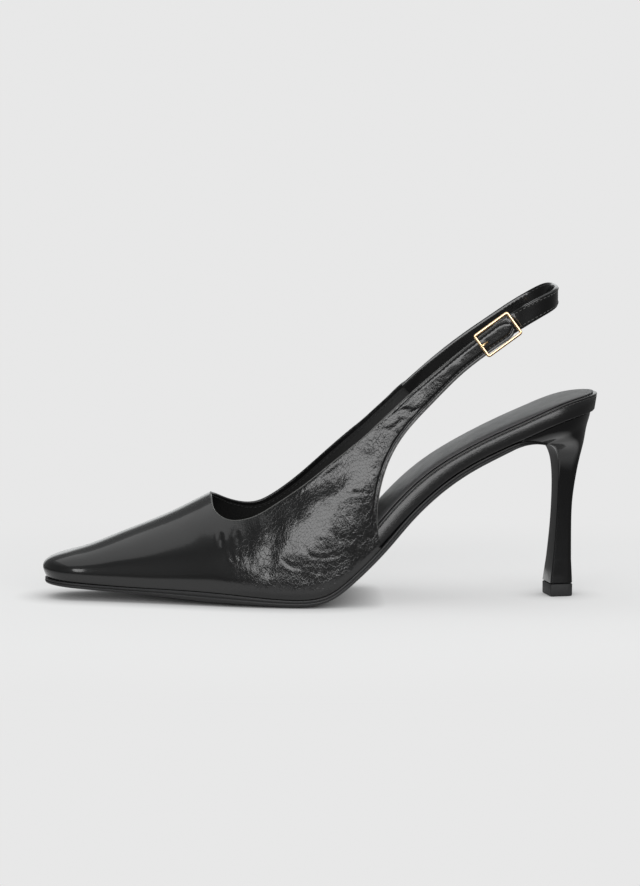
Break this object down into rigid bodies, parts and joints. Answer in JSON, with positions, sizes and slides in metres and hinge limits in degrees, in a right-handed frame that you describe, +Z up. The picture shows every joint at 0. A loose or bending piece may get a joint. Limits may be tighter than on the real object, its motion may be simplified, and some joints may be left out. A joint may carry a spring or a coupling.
{
  "type": "slingback pump",
  "caption": "Left slingback pump with a pointed soft-square toe, low-cut vamp, slim flared high heel, covered insole edge and a heel strap closed by a small frame buckle.",
  "frame": {"origin": "centre of the shoe's bounding box on the floor plane that it stands on", "axes": "+X from the toe to the heel, +Y to the inner side of the left foot, +Z up"},
  "size_m": [0.248, 0.0792, 0.1398],
  "materials": {
    "upper_leather": "glossy black crinkled leather with a dark leather lining",
    "outsole": "black, satin, with a fine line along its side",
    "insole_cover": "smooth black leather wrapped round the insole board's edge",
    "sock_leather": "soft black leather sock with a satin sheen",
    "heel_cover": "black heel block with a glossy cover",
    "heel_tip": "matte black top piece",
    "strap_leather": "glossy black leather strap, lined and stitched",
    "buckle_metal": "polished light gold"
  },
  "bodies": {
    "root": {"upper": "upper_leather", "outsole": "outsole", "covered_insole": "insole_cover", "sock": "sock_leather", "heel": "heel_cover", "heel_tip": "heel_tip", "sling_strap": "strap_leather", "buckle_frame": "buckle_metal", "buckle_prong": "buckle_metal"}
  },
  "joints": []
}
